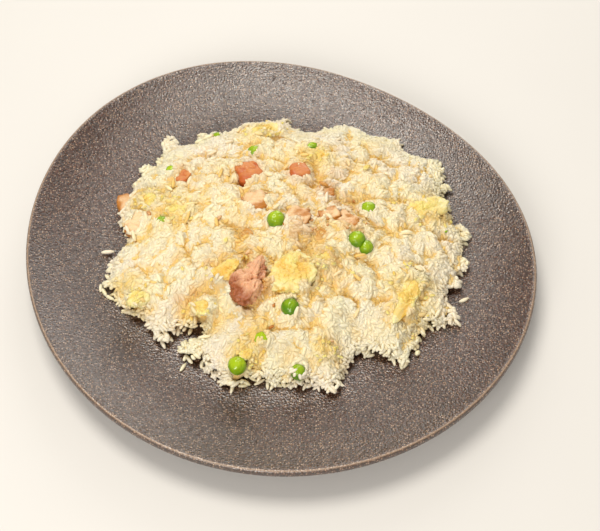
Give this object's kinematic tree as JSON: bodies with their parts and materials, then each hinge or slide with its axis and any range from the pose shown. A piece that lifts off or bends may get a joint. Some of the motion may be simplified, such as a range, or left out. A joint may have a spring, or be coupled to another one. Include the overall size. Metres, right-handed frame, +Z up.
{
  "type": "fried rice plate",
  "caption": "Matte grey-brown stoneware plate of uneven round outline, holding a low heap of fried rice with peas, diced ham and pork and torn scrambled egg half sunk in it",
  "frame": {"origin": "on the table, under the middle of the plate's outline", "axes": "+Z up; +Y away from the diner; +X to the diner's right"},
  "size_m": [0.2566, 0.2612, 0.0397],
  "materials": {
    "stoneware": "matte",
    "rice": "satin",
    "pea": "satin",
    "ham": "satin",
    "pork": "satin",
    "egg": "satin"
  },
  "bodies": {
    "root": {"plate": "stoneware", "rice_heap": "rice", "dropped_1": "rice", "dropped_2": "rice", "egg_1": "egg", "egg_2": "egg", "egg_3": "egg", "egg_4": "egg", "egg_5": "egg", "egg_6": "egg", "egg_7": "egg", "egg_8": "egg", "egg_9": "egg", "egg_10": "egg", "egg_11": "egg", "egg_12": "egg", "egg_13": "egg", "ham_1": "ham", "ham_2": "ham", "ham_3": "ham", "pea_1": "pea", "pea_2": "pea", "pea_3": "pea", "pea_4": "pea", "pea_5": "pea", "pea_6": "pea", "pea_7": "pea", "pea_8": "pea", "pea_9": "pea", "pea_10": "pea", "pea_11": "pea", "pea_12": "pea", "pea_13": "pea", "pork_1": "pork", "pork_2": "pork", "pork_3": "pork", "pork_4": "pork", "pork_5": "pork", "pork_6": "pork", "pork_7": "pork", "pork_8": "pork"}
  },
  "joints": []
}
